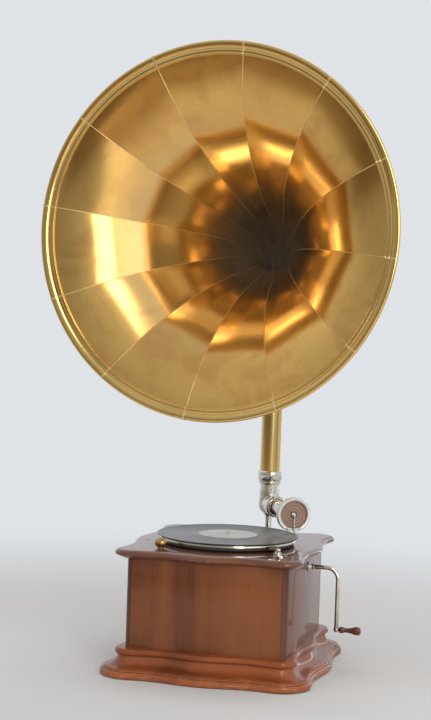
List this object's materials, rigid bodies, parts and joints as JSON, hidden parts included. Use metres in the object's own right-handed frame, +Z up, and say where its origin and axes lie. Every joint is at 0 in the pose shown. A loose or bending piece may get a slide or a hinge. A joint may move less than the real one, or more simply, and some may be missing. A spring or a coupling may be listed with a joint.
{
  "type": "table gramophone",
  "caption": "Table gramophone with a serpentine-edged wooden case, hand crank, turntable with record, swinging tone arm and a large flared brass horn on a rear bracket.",
  "frame": {"origin": "centre of the base slab's underside, where the gramophone stands", "axes": "+Z up, front with the horn's mouth towards -Y, crank on the +X side"},
  "size_m": [0.6061, 0.5343, 1.056],
  "materials": {
    "mahogany": "polished",
    "nickel": "worn nickel plate",
    "cast_iron": "painted",
    "steel": "oiled",
    "brass": "aged polish",
    "grip_wood": "polished",
    "felt": "felt",
    "shellac": "grooved",
    "leather": "plain",
    "rubber": "plain",
    "diaphragm": "ribbed disc"
  },
  "bodies": {
    "case": {"base_slab": "mahogany", "base_cove": "mahogany", "base_bead": "mahogany", "front_panel": "mahogany", "rear_panel": "mahogany", "left_panel": "mahogany", "right_panel": "mahogany", "corner_columns": "mahogany", "lid_board": "mahogany", "crank_escutcheon": "nickel", "bracket_plate": "nickel", "bracket_post": "nickel", "motor_top_plate": "cast_iron", "motor_bottom_plate": "cast_iron", "motor_pillars": "steel", "crank_bearing": "cast_iron", "governor_bracket": "cast_iron", "brake_plate": "nickel"},
    "crank": {"crank_rod": "nickel", "winding_pinion": "steel"},
    "grip": {"crank_grip": "grip_wood"},
    "winding_arbor": {"barrel_arbor": "steel", "crown_wheel": "steel"},
    "barrel": {"spring_barrel": "brass", "barrel_cover": "brass", "great_wheel": "brass", "main_spring": "steel"},
    "middle_train": {"middle_arbor": "steel", "middle_wheel": "brass"},
    "turntable": {"turntable_spindle": "steel", "worm_wheel": "brass", "platter": "nickel", "felt_mat": "felt", "record": "shellac"},
    "governor": {"governor_shaft": "steel", "governor_weights": "brass", "governor_springs": "steel", "governor_disc": "brass"},
    "speed": {"speed_knob": "brass", "speed_lever": "steel"},
    "brake": {"brake_lever": "nickel", "brake_pad": "leather"},
    "arm_base": {"elbow": "nickel", "union_ring": "nickel"},
    "arm_tube": {"tone_arm": "nickel"},
    "sound_box": {"soundbox_back": "nickel", "soundbox_ring": "nickel", "gaskets": "rubber", "diaphragm": "diaphragm", "needle_bar": "nickel", "needle": "steel"},
    "horn": {"horn_collar": "nickel", "collar_screw": "nickel", "horn_pipe": "brass", "horn_petals": "brass", "horn_seams": "brass", "horn_rim": "brass"}
  },
  "joints": [
    {"name": "crank_spin", "type": "hinge", "parent": "case", "child": "crank", "pos_m": [0.1, 0.02, 0.178], "axis": [1, 0, 0], "continuous": true},
    {"name": "grip_spin", "type": "hinge", "parent": "crank", "child": "grip", "pos_m": [0.21, 0.02, 0.07], "axis": [1, 0, 0], "continuous": true},
    {"name": "arbor_spin", "type": "hinge", "parent": "case", "child": "winding_arbor", "pos_m": [0.055, 0.02, 0.12], "axis": [0, 0, 1], "continuous": true},
    {"name": "turntable_spin", "type": "hinge", "parent": "case", "child": "turntable", "pos_m": [0, -0.01, 0.2], "axis": [0, 0, 1], "continuous": true},
    {"name": "middle_spin", "type": "hinge", "parent": "case", "child": "middle_train", "pos_m": [0.01041, 0.02603, 0.1], "axis": [0, 0, 1], "continuous": true},
    {"name": "barrel_spin", "type": "hinge", "parent": "case", "child": "barrel", "pos_m": [0.055, 0.02, 0.12], "axis": [0, 0, 1], "continuous": true},
    {"name": "governor_spin", "type": "hinge", "parent": "case", "child": "governor", "pos_m": [0, -0.0331, 0.15043], "axis": [1, 0, 0], "continuous": true},
    {"name": "speed_turn", "type": "hinge", "parent": "case", "child": "speed", "pos_m": [-0.089, -0.129, 0.2], "axis": [0, 0, 1], "range_deg": [0, 10]},
    {"name": "brake_turn", "type": "hinge", "parent": "case", "child": "brake", "pos_m": [0.114, -0.126, 0.218], "axis": [0, 0, 1], "range_deg": [-12, 0]},
    {"name": "arm_swing", "type": "hinge", "parent": "case", "child": "arm_base", "pos_m": [0.029, 0.195, 0.25], "axis": [0, 0, 1], "range_deg": [-31, 12]},
    {"name": "arm_lift", "type": "hinge", "parent": "arm_base", "child": "arm_tube", "pos_m": [0.05061, 0.15553, 0.262], "axis": [-0.8771, -0.4802, 0], "range_deg": [0, 20]},
    {"name": "soundbox_turn", "type": "hinge", "parent": "arm_tube", "child": "sound_box", "pos_m": [0.09815, 0.06869, 0.262], "axis": [0.4802, -0.8771, 0], "range_deg": [-20, 110]},
    {"name": "horn_turn", "type": "hinge", "parent": "case", "child": "horn", "pos_m": [0.029, 0.195, 0.31], "axis": [0, 0, 1], "range_deg": [-60, 60]}
  ],
  "couplings": [
    {"joint": "arbor_spin", "follows": "crank_spin", "ratio": 0.33333},
    {"joint": "middle_spin", "follows": "turntable_spin", "ratio": -0.25},
    {"joint": "barrel_spin", "follows": "turntable_spin", "ratio": 0.05},
    {"joint": "governor_spin", "follows": "turntable_spin", "ratio": 12}
  ]
}
